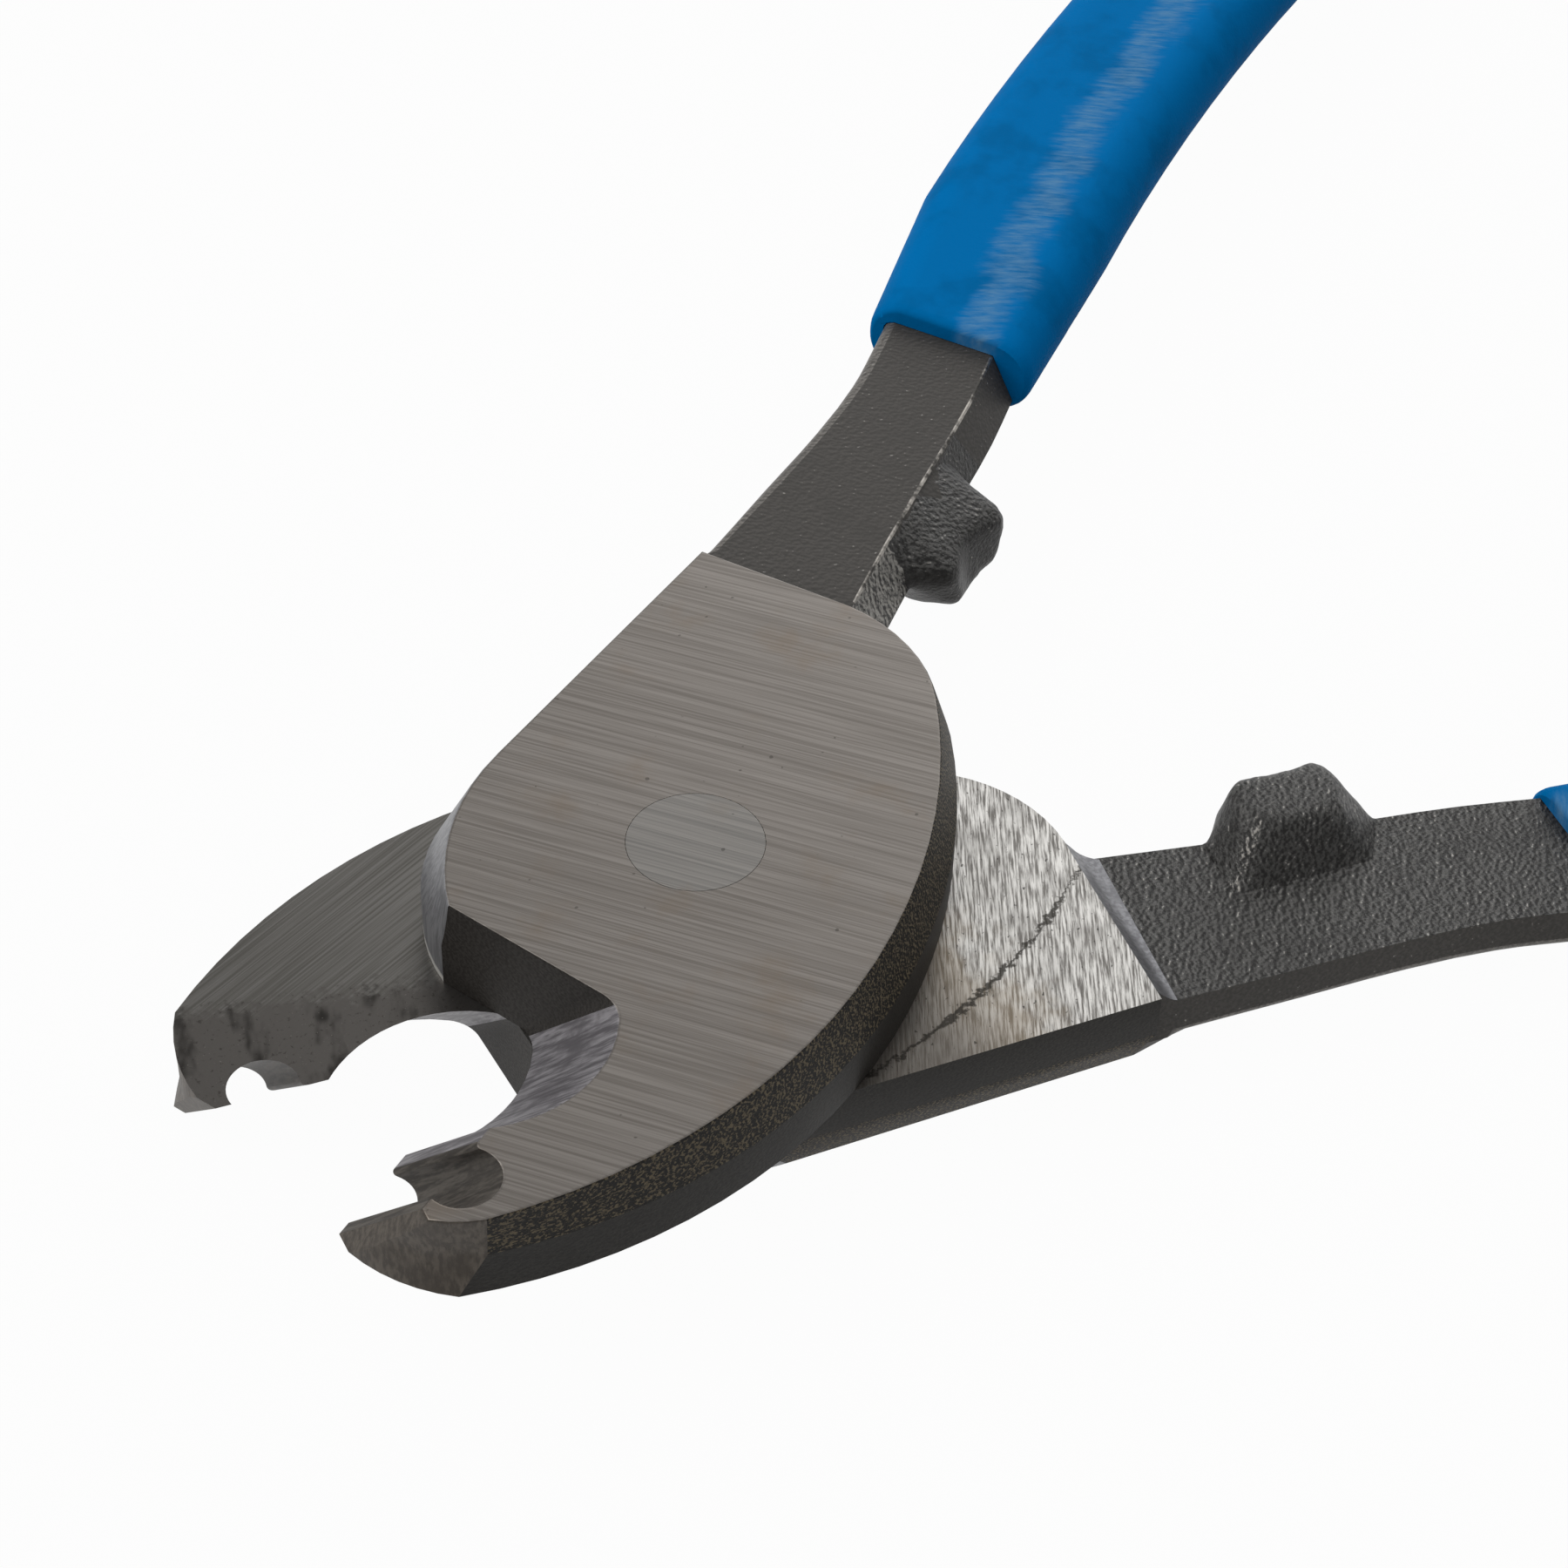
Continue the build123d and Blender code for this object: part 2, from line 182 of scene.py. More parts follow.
class CutterFinish(bpy.types.PropertyGroup):
    """Colours of the steel and the vinyl, and the sizes of their patterns."""

    ground: colour("Ground steel", "#85807b", "Ridges of the grinding lines on the head")
    ground_dark: colour("Ground steel, low", "#6e6964", "Valleys of the grinding lines")
    stain: colour("Stain", "#75685a", "Brown stains on the ground steel")
    pit: colour("Pits", "#34312d", "Small pits in the ground and the rubbed steel")
    sliding: colour("Sliding face", "#716f6c", "Ground face between the levers, at the jaw")
    sliding_dark: colour("Sliding face, low", "#5b5955", "Valleys of its grinding lines")
    # Painted reflection: the rubbed steel is coloured as bright as the light that it reflects, and the
    # heel's painted glint line uses this colour too.
    rubbed: colour("Rubbed steel", "#d6d4d0", "Sliding face rubbed bright, at the handle")
    rubbed_dark: colour("Rubbed steel, low", "#6f6c68", "Streaks in the rubbed steel")
    rust: colour("Rust", "#9a8460", "Ochre film beside the other lever")
    # Beside the other lever on the rubbed steel, this colour is painted shade where the painted
    # reflection fades.
    relief: colour("Relief", "#5a5754", "Unground strip by the cutting edge, and dirt by the other lever")
    bevel: colour("Cutting bevel", "#989598", "Ground bevel of the hook")
    bevel_dark: colour("Cutting bevel, low", "#615e61", "Streaks in the bevel")
    tooth: colour("Tooth", "#5d5852", "Dull flanks of the tooth and of the notch")
    tooth_dark: colour("Tooth, low", "#3c3834", "Streaks in those flanks")
    heel: colour("Heel", "#87878a", "Satin rounded heel")
    heel_dark: colour("Heel, low", "#6b6b6e", "Streaks in the heel")
    # The light and low tones of the throat wall, the trimmed rim, the bar, the inner face, the wrinkles
    # and the shoulder are also laid as the painted bright and painted shaded sides of their grain.
    throat: colour("Throat wall", "#3a3734", "Scale on the throat's back wall")
    throat_dark: colour("Throat wall, low", "#2a2724", "Hollows of that scale")
    jaw_end: colour("Jaw end", "#5f5850", "Ground end of the jaw")
    jaw_end_dark: colour("Jaw end, low", "#453f39", "Smudges on the jaw's end")
    scale: colour("Forging scale", "#1c1a18", "Rough band of the rim")
    scale_grain: colour("Scale grain", "#6e6452", "Ochre grains in the scale")
    trimmed: colour("Trimmed rim", "#34322f", "Smoother band of the rim")
    trimmed_dark: colour("Trimmed rim, low", "#272523", "Darker patches of the smoother band")
    bar: colour("Forged bar", "#514e4b", "Oxidised outer face of the bar")
    bar_dark: colour("Forged bar, low", "#42403d", "Hollows of its grain")
    inner: colour("Inner face", "#5f5e5c", "Leathery inner face of the bar and the lug")
    inner_dark: colour("Inner face, low", "#282726", "Hollows of the leathery grain")
    # Painted reflection: the wrinkles are coloured as bright as the light that the side wall catches.
    wrinkle_highlight: colour("Wrinkles", "#a19e98", "Bright wrinkles beside the neck")
    # The hollows are laid on the painted shaded side of the wrinkles.
    wrinkle_dark: colour("Wrinkles, low", "#2a2826", "Hollows between the wrinkles")
    # Partly painted highlight: the rounded shoulder is coloured lighter where it faces the lamp, as well
    # as rubbed.
    shoulder: colour("Shoulder", "#76726d", "Rubbed outer edge of the bar")
    # Painted glints, laid where the forged grain's painted light is brightest.
    painted_glint: colour("Sparkle", "#a5a29d", "Bare points in the bar's scale")
    # The worn colour is also laid as the painted glints on the wrinkles.
    worn: colour("Worn edge", "#b4afa8", "Edges rubbed to bare metal")
    rivet: colour("Rivet", "#86837f", "Rivet ground flush with the head")
    rivet_dark: colour("Rivet, low", "#72706d", "Grinding lines on the rivet")
    vinyl: colour("Vinyl", "#0073b8", "Dipped grip")
    vinyl_dark: colour("Vinyl, deep", "#0069a8", "Slow clouds in the dip")
    # The haze is partly whitened creases and partly a painted sheen along the grip's ridge.
    haze: colour("Vinyl haze", "#6896bc", "Whitened creases along the grip's ridge")
    line_width: length("Grinding line", 0.13, "Width of a grinding line")
    line_run: length("Grinding run", 12.0, "Length of a grinding line")
    grain: length("Grain", 0.22, "Half the size of a grain of the forged bar")
    grit: length("Grit", 0.15, "Half the size of a grain of forging scale")
    pit_size: length("Pit", 0.42, "Size of a pit or speck")
    stain_size: length("Stain", 4.5, "Size of a stain")


class CutterStage(bpy.types.PropertyGroup):
    """Camera, floor and light."""

    camera_place: bpy.props.FloatVectorProperty(
        name="Camera", description="Camera's place", subtype="XYZ", unit="LENGTH", size=3,
        default=(-0.08159, -0.09658, 0.13345),
    )
    lens: bpy.props.FloatProperty(
        name="Lens", description="Focal length on a 36 mm frame, in mm", default=80.76, min=1.0
    )
    floor: colour("Floor", "#a9a8a6", "Pale floor")
    horizon: bpy.props.FloatProperty(
        name="Horizon", description="Light from the horizon", default=0.15, min=0.0
    )
    zenith: bpy.props.FloatProperty(
        name="Zenith", description="Light from straight above", default=0.58, min=0.0
    )
    key: power("Key lamp", 2.2, "Power of the soft lamp on the left")
    back: power("Back lamp", 2.2, "Power of the soft lamp behind")


def select_only(piece):
    """Make one object the selected and active one."""
    bpy.ops.object.select_all(action="DESELECT")
    piece.select_set(True)
    bpy.context.view_layer.objects.active = piece


def copy_of(node_name, piece_name):
    """A free copy of a CAD node, its loose triangles merged and its flat faces joined."""
    select_only(frame["nodes"][node_name])
    bpy.ops.object.duplicate()
    piece = bpy.context.view_layer.objects.active
    piece.name = piece_name
    piece.data.name = piece_name
    del piece["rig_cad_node"]
    piece.data.materials.clear()
    bpy.ops.mesh.customdata_custom_splitnormals_clear()
    bpy.ops.object.mode_set(mode="EDIT")
    bpy.ops.mesh.select_all(action="SELECT")
    bpy.ops.mesh.remove_doubles(threshold=MERGING)
    bpy.ops.mesh.dissolve_limited(angle_limit=FLAT_ANGLE)
    bpy.ops.object.mode_set(mode="OBJECT")
    return piece


def lever_frame(node_name):
    """Matrix from the shared frame, in metres, to a closed lever's own frame, in millimetres."""
    body = BODY[node_name]
    turn = Matrix.Rotation(-REST_TURN, 4, "Z")
    if body == "lower":
        turn = turn @ Matrix.Rotation(math.pi, 4, "X")
    drop = Matrix.Translation((0, 0, -SLIDING_LEVEL[body] * MM))
    return Matrix.Scale(1 / MM, 4) @ turn @ drop


def paint_faces(piece, to_lever, zone):
    """Give each face the material slot that the rule picks from its place and normal."""
    turn = to_lever.to_3x3().normalized()
    for face in piece.data.polygons:
        face.material_index = zone(to_lever @ face.center, turn @ face.normal)


def cut_across(piece, to_lever, stations):
    """Cut a piece across the handle at some stations, so that a rounding can fade in there."""
    back = to_lever.inverted()
    along = (back.to_3x3() @ Vector((1, 0, 0))).normalized()
    select_only(piece)
    bpy.ops.object.mode_set(mode="EDIT")
    for station in stations:
        bpy.ops.mesh.select_all(action="SELECT")
        bpy.ops.mesh.bisect(plane_co=back @ Vector((station, 0, 0)), plane_no=along)
    bpy.ops.object.mode_set(mode="OBJECT")


def round_edges(piece, to_lever, rule, width, segments, material):
    """Round sharp edges.

    A rule gives each edge its share of the width, from its ends and its faces' normals.
    """
    mesh = piece.data
    turn = to_lever.to_3x3().normalized()
    normals = {}
    for face in mesh.polygons:
        for key in face.edge_keys:
            normals.setdefault(key, []).append(turn @ face.normal)
    shares = mesh.attributes.new("bevel_weight_edge", "FLOAT", "EDGE")
    for edge in mesh.edges:
        sides = normals.get(tuple(sorted(edge.vertices)), [])
        if len(sides) == 2 and sides[0].angle(sides[1]) > SHARP_ANGLE:
            ends = [to_lever @ mesh.vertices[i].co for i in edge.vertices]
            shares.data[edge.index].value = rule(ends, sides)
    rounding = piece.modifiers.new("rounding", "BEVEL")
    rounding.limit_method = "WEIGHT"
    rounding.width = width
    rounding.segments = segments
    rounding.material = material
    rounding.use_clamp_overlap = False
    select_only(piece)
    bpy.ops.object.modifier_apply(modifier=rounding.name)
    piece.data.attributes.remove(piece.data.attributes["bevel_weight_edge"])


def smooth(piece, degrees):
    """Drop slivers with no area, shade rounded edges smooth and keep flat faces flat."""
    select_only(piece)
    bpy.ops.object.mode_set(mode="EDIT")
    bpy.ops.mesh.select_all(action="SELECT")
    bpy.ops.mesh.dissolve_degenerate(threshold=SLIVER)
    bpy.ops.object.mode_set(mode="OBJECT")
    bpy.ops.object.shade_smooth_by_angle(angle=math.radians(degrees))
    weighted = piece.modifiers.new("weighted normals", "WEIGHTED_NORMAL")
    weighted.keep_sharp = True
    bpy.ops.object.modifier_apply(modifier=weighted.name)


def add(tree, kind, inputs=None, out=0, **settings):
    """Add a node, set its options, fill its inputs with values or links, and give one output."""
    new = tree.nodes.new("ShaderNode" + kind)
    for name, value in settings.items():
        setattr(new, name, value)
    for key, value in (inputs or {}).items():
        if isinstance(value, bpy.types.NodeSocket):
            tree.links.new(value, new.inputs[key])
        else:
            new.inputs[key].default_value = value
    return new.outputs[out] if new.outputs else None


def new_material(name, node_name):
    """A material's empty node tree, and coordinates in the closed lever's frame, in millimetres."""
    material = bpy.data.materials.new(name)
    material.use_nodes = True
    tree = material.node_tree
    tree.nodes.clear()
    body = BODY[node_name]
    level = SLIDING_LEVEL[body]
    turned_over = body == "lower"
    place = add(
        tree, "Mapping",
        {
            "Vector": add(tree, "TexCoord", out="Object"),
            "Scale": (1 / MM, 1 / MM, 1 / MM),
            "Rotation": (math.pi if turned_over else 0.0, 0.0, -REST_TURN),
            "Location": (0.0, 0.0, level if turned_over else -level),
        },
    )
    return material, tree, place


def about_z(degrees):
    """Turn of a pattern in the plane of the lever."""
    return (0.0, 0.0, math.radians(degrees))


def noise(tree, place, size, turn=about_z(0), detail=2.0):
    """Noise whose features have the given size along each axis of a turned frame."""
    size = [side / MM for side in size]
    drawn = add(
        tree, "Mapping", {"Vector": place, "Rotation": turn, "Scale": size}, vector_type="TEXTURE"
    )
    inputs = {"Vector": drawn, "Scale": 1.0, "Detail": detail, "Roughness": 0.6}
    return add(tree, "TexNoise", inputs)


def lay(tree, under, over, pattern, low, high, share=1.0):
    """Lay a colour or a number over another where a pattern goes from low to high."""
    inputs = {0: pattern, 1: low, 2: high, 4: share}
    amount = add(tree, "MapRange", inputs, interpolation_type="SMOOTHSTEP")
    return add(tree, "Mix", {0: amount, 6: under, 7: over}, out=2, data_type="RGBA")


def surface(tree, shade, roughness, height, depth, constants):
    """Close a material with colour, roughness, relief and the shader's constants."""
    relief = add(tree, "Bump", {"Height": height, "Distance": depth})
    inputs = {"Base Color": shade, "Roughness": roughness, "Normal": relief}
    shader = add(tree, "BsdfPrincipled", {**inputs, **constants})
    add(tree, "OutputMaterial", {"Surface": shader})


def ground_steel(name, node_name, finish, light, dark):
    """Surface-ground steel: fine lines across the head, faint brown stains and a few pits.

    Lines finer than the width given here wouldn't show, so only the coarse ones are drawn.
    """
    material, tree, place = new_material(name, node_name)
    across = about_z(-81)
    width = finish.line_width
    lines = noise(tree, place, (finish.line_run, width, width), across)
    bands = noise(tree, place, (finish.line_run, 8 * width, 8 * width), across)
    stains = noise(tree, place, [finish.stain_size] * 3, detail=4.0)
    pits = noise(tree, place, [finish.pit_size] * 3, detail=0.0)
    shade = lay(tree, dark, light, lines, 0.3, 0.7)
    shade = lay(tree, shade, dark, bands, 0.45, 0.75, 0.18)
    shade = lay(tree, shade, finish.stain, stains, 0.52, 0.75, 0.4)
    shade = lay(tree, shade, finish.pit, pits, 0.83, 0.88, 0.5)
    roughness = add(tree, "MapRange", {0: lines, 3: 0.46, 4: 0.38})
    surface(tree, shade, roughness, lines, 0.003 * MM, {"Metallic": 1.0})
    return material


def jaw_face(tree, place, finish):
    """Colour and relief at the jaw: slanted grinding lines, and a smeared, unground strip."""
    x = add(tree, "SeparateXYZ", {0: place}, out="X")
    y = add(tree, "SeparateXYZ", {0: place}, out="Y")
    width = finish.line_width
    lines = noise(tree, place, (finish.line_run, width, width), about_z(-31), 3.0)
    ground = lay(tree, finish.sliding_dark, finish.sliding, lines, 0.34, 0.66)

    smears = noise(tree, place, (1.8 * MM, 5.0 * MM, 5.0 * MM), about_z(12), 3.0)
    specks = noise(tree, place, [2 * width] * 3)
    glints = noise(tree, place, [width] * 3)
    strip = lay(tree, finish.relief, finish.scale, smears, 0.5, 0.7, 0.8)
    strip = lay(tree, strip, finish.pit, specks, 0.6, 0.7, 0.6)
    strip = lay(tree, strip, finish.ground, glints, 0.66, 0.76, 0.8)

    # The strip follows the cutting edge, which slopes along the jaw, and has a ragged border.
    ragged = noise(tree, place, [4 * width] * 3, detail=3.0)
    rise = add(tree, "Math", {0: x, 1: -0.16, 2: y}, operation="MULTIPLY_ADD")
    border = add(tree, "Math", {0: ragged, 1: 4.0, 2: rise}, operation="MULTIPLY_ADD")
    by_edge = lay(tree, ground, strip, border, 3.0, 4.4)
    return lay(tree, ground, by_edge, x, -11.0, -13.0), lines


def rubbed_face_with_painted_reflection(tree, place, finish):
    """Colour and relief at the handle: short streaks painted bright as a painted reflection, rust, pits
    and a broken dark arc.
    """
    x = add(tree, "SeparateXYZ", {0: place}, out="X")
    y = add(tree, "SeparateXYZ", {0: place}, out="Y")
    width = finish.line_width
    turn = about_z(-70)
    streaks = noise(tree, place, (1.8 * MM, width, width), turn, 4.0)
    clouds = noise(tree, place, [finish.stain_size] * 3, detail=3.0)
    # Painted reflection: streaks in the bright rubbed colour.
    shade = lay(tree, finish.rubbed_dark, finish.rubbed, streaks, 0.36, 0.62)
    shade = lay(tree, shade, finish.rubbed_dark, clouds, 0.45, 0.7, 0.5)

    # Rust gathers towards the other lever, where the painted reflection also fades into painted shade in
    # the relief colour.
    inward = add(tree, "Math", {0: y, 1: -0.25, 2: x}, operation="MULTIPLY_ADD")
    film = add(tree, "Math", {0: clouds, 1: -12.0, 2: inward}, operation="MULTIPLY_ADD")
    shade = lay(tree, shade, finish.rust, film, 7.0, 3.0, 0.35)
    shade = lay(tree, shade, finish.relief, inward, 12.5, 5.0, 0.8)
    pits = noise(tree, place, (finish.pit_size, 2 * width, 2 * width), turn)
    shade = lay(tree, shade, finish.pit, pits, 0.64, 0.74, 0.85)

    reach = add(tree, "VectorMath", {0: place, 1: ARC_CENTRE}, out="Value", operation="DISTANCE")
    ragged = noise(tree, place, [4 * width] * 3, detail=3.0)
    reach = add(tree, "Math", {0: ragged, 1: 1.2, 2: reach}, operation="MULTIPLY_ADD")
    off_arc = add(tree, "Math", {0: reach, 1: ARC_RADIUS}, operation="SUBTRACT")
    off_arc = add(tree, "Math", {0: off_arc}, operation="ABSOLUTE")
    broken = add(tree, "Math", {0: clouds, 1: 0.8, 2: off_arc}, operation="MULTIPLY_ADD")
    return lay(tree, shade, finish.pit, broken, 0.62, 0.42, 0.9), streaks


def sliding_steel(name, node_name, finish):
    """Steel of the sliding face: ground in slanted lines at the jaw, rubbed at the handle and painted
    bright there as a painted reflection.
    """
    material, tree, place = new_material(name, node_name)
    jaw, lines = jaw_face(tree, place, finish)
    rubbed, streaks = rubbed_face_with_painted_reflection(tree, place, finish)
    x = add(tree, "SeparateXYZ", {0: place}, out="X")
    shade = lay(tree, jaw, rubbed, x, 0.0, 4.0)
    relief = lay(tree, lines, streaks, x, 0.0, 4.0)
    roughness = add(tree, "MapRange", {0: relief, 3: 0.48, 4: 0.32})
    surface(tree, shade, roughness, relief, 0.01 * MM, {"Metallic": 1.0})
    return material


def streaked_steel(name, node_name, finish, tones, turn, run, roughness, metal, painted_glint_height=0.0):
    """Roughly ground steel: streaks of some length along one direction, and smudges.

    The last argument is a height in mm above the sliding face, below which a painted glint line is laid
    in the rubbed colour.
    """
    material, tree, place = new_material(name, node_name)
    light, dark = tones
    width = finish.line_width
    streaks = noise(tree, place, (2 * width, 2 * width, run), turn, 3.0)
    smudges = noise(tree, place, [finish.stain_size / 2] * 3, detail=4.0)
    shade = lay(tree, dark, light, streaks, 0.36, 0.64)
    shade = lay(tree, shade, dark, smudges, 0.48, 0.7, 0.8)
    if painted_glint_height:
        height = add(tree, "SeparateXYZ", {0: place}, out="Z")
        # Painted glint: a bright line along the heel's bottom edge, in the rubbed colour.
        shade = lay(tree, shade, finish.rubbed, height, painted_glint_height, painted_glint_height / 2)
    constants = {"Metallic": metal, "Specular IOR Level": metal / 2}
    surface(tree, shade, roughness, streaks, 0.012 * MM, constants)
    return material


def lug_wear(tree, place, finish, shade, painted_light):
    """Paint shade on the stop lug's upright walls, and rub the grains on one of its corners bare,
    brightest on their painted bright side.
    """
    off = add(tree, "VectorMath", {0: place, 1: LUG_CORNER}, operation="SUBTRACT")
    off = add(tree, "VectorMath", {0: off, 1: LUG_CORNER_LINE}, operation="CROSS_PRODUCT")
    off = add(tree, "VectorMath", {0: off}, out="Value", operation="LENGTH")
    near = add(tree, "MapRange", {0: off, 1: LUG_CORNER_REACH, 2: 0.0, 4: 0.42})
    # The bare corner shows where its nearness and the painted light add up.
    rubbed = add(tree, "Math", {0: painted_light, 1: near}, operation="ADD")
    # Painted shade on the upright walls, whose normals lie flat.
    up = add(tree, "SeparateXYZ", {0: add(tree, "TexCoord", out="Normal")}, out="Z")
    flatness = add(tree, "Math", {0: up}, operation="ABSOLUTE")
    shade = lay(tree, shade, finish.scale, flatness, 0.85, 0.35, 0.85)
    return lay(tree, shade, finish.worn, rubbed, 0.2, 0.4, 0.8)


def forged_scale(
    name, node_name, finish, tones, size, bare, roughness, depth,
    gloss=0.15, stretch=1.8, turn=about_z(30), is_stop=False,
):
    """Oxidised forging: grain with a painted bright side and a painted shaded side, slow clouds and
    painted glints.

    The tones are those of the painted bright side, the painted shaded side (which the clouds use too) and
    the painted glints, which in the rim's scale are its ochre grains on their painted bright side. The
    bare argument is the level of painted light above which that third tone is laid.
    """
    material, tree, place = new_material(name, node_name)
    light, dark, painted_glint = tones
    sides = (size, stretch * size, size)
    grain = noise(tree, place, sides, turn, 3.0)
    # Painted light and shade: the grain minus the same grain shifted a little gives each grain a painted
    # bright side and a painted shaded side, as if one lamp lit it from the side.
    shift = 0.5 * size / MM
    ahead = add(tree, "VectorMath", {0: place, 1: (shift, shift, 0.0)}, operation="ADD")
    grain_ahead = noise(tree, ahead, sides, turn, 3.0)
    painted_light = add(tree, "Math", {0: grain, 1: grain_ahead}, operation="SUBTRACT")
    clouds = noise(tree, place, [finish.stain_size] * 3, detail=3.0)
    shade = lay(tree, dark, light, painted_light, -0.16, 0.16)
    shade = lay(tree, shade, dark, clouds, 0.5, 0.75, 0.5)
    # Painted glints where the painted light is brightest.
    shade = lay(tree, shade, painted_glint, painted_light, bare, bare + 0.08)
    if is_stop:
        shade = lug_wear(tree, place, finish, shade, painted_light)
    constants = {"Metallic": gloss, "Specular IOR Level": gloss}
    surface(tree, shade, roughness, grain, depth, constants)
    return material


def worn_steel(name, node_name, finish):
    """Edges rubbed to bare metal, with scale left between the rubbed stretches."""
    material, tree, place = new_material(name, node_name)
    wear = noise(tree, place, [2 * finish.grain] * 3, detail=4.0)
    stretches = noise(tree, place, [finish.stain_size / 2] * 3)
    rubbed = add(tree, "Math", {0: wear, 1: stretches}, operation="ADD")
    shade = lay(tree, finish.bar_dark, finish.worn, rubbed, 0.8, 1.25)
    surface(tree, shade, 0.4, wear, 0.02 * MM, {"Metallic": 0.8})
    return material


def dipped_vinyl(name, node_name, finish):
    """Dipped vinyl: saturated blue, soft clouds, and a whitened band of short creases that is partly a
    painted sheen along the grip's ridge.

    The grain of the vinyl's skin is drawn as coarse as the forging's, so that it shows.
    """
    material, tree, place = new_material(name, node_name)
    clouds = noise(tree, place, [finish.stain_size] * 3, detail=3.0)
    creases = noise(tree, place, (0.35 * MM, 1.8 * MM, 1.8 * MM), about_z(25), 5.0)

    # The band follows the bow of the handle, and strays to both sides of it.
    flat = add(tree, "VectorMath", {0: place, 1: (1.0, 1.0, 0.0)}, operation="MULTIPLY")
    reach = add(tree, "VectorMath", {0: flat, 1: BOW_CENTRE}, out="Value", operation="DISTANCE")
    stray = 3.0
    middle = BOW_RADIUS + HAZE_OFFSET + stray / 2
    reach = add(tree, "Math", {0: clouds, 1: stray, 2: reach}, operation="MULTIPLY_ADD")
    off_ridge = add(tree, "Math", {0: reach, 1: middle}, operation="SUBTRACT")
    off_ridge = add(tree, "Math", {0: off_ridge}, operation="ABSOLUTE")
    inputs = {0: off_ridge, 1: 3.2, 2: 0.2}
    band = add(tree, "MapRange", inputs, interpolation_type="SMOOTHSTEP")
    haze = add(tree, "Math", {0: band, 1: creases}, operation="MULTIPLY")

    shade = lay(tree, finish.vinyl, finish.vinyl_dark, clouds, 0.45, 0.7)
    # Painted sheen and whitened creases in one band along the ridge.
    shade = lay(tree, shade, finish.haze, haze, 0.2, 0.85, 0.9)
    skin = noise(tree, place, [finish.grain] * 3)
    relief = add(tree, "Math", {0: haze, 1: 2.0, 2: skin}, operation="MULTIPLY_ADD")
    surface(tree, shade, 0.5, relief, 0.015 * MM, {"Specular IOR Level": 0.005})
    return material


ZONES = (
    "bar", "inner", "stop", "wrinkled", "shoulder", "scale", "trimmed", "ground",
    "sliding", "bevel", "tooth", "throat", "jaw_end", "heel", "slope", "worn",
)


def is_lug(place, margin=0.0):
    """Whether a place is on the stop lug, or within a margin of it."""
    along = LUG_START - margin < place.x < LUG_END + margin
    return along and place.y < LUG_SIDE + margin and place.z < LUG_TOP + margin


def lever_zone(place, normal):
    """Which finish a face of a lever has, from its place and normal in the closed lever's frame."""
    if normal.z > SQUARE_ON and place.z > HEAD_THICKNESS - 0.1:
        zone = "ground"
    elif normal.z < -SQUARE_ON and place.z < 0.1 and place.x < HEAD_END:
        zone = "sliding"
    elif place.x < JAW_END and normal.x < -0.75:
        zone = "jaw_end"
    elif place.x < BEVEL_END and place.y > BEVEL_SIDE and abs(normal.dot(BEVEL_SLANT)) < 0.04:
        zone = "tooth" if place.x < TOOTH_END else "throat" if normal.x < -0.8 else "bevel"
    elif place.x < 0 and place.y > HEEL_SIDE:
        zone = "heel"
    elif STEP_START < place.x < STEP_END and place.z < SLOPE_TOP:
        zone = "slope"
    elif place.x < STEP_START:
        zone = "scale" if place.z > HEAD_THICKNESS / 2 else "trimmed"
    elif is_lug(place):
        zone = "stop"
    elif place.x < WRINKLED_END and normal.y < -0.5:
        zone = "wrinkled"
    elif normal.z < -0.9:
        zone = "inner"
    else:
        zone = "bar"
    return ZONES.index(zone)


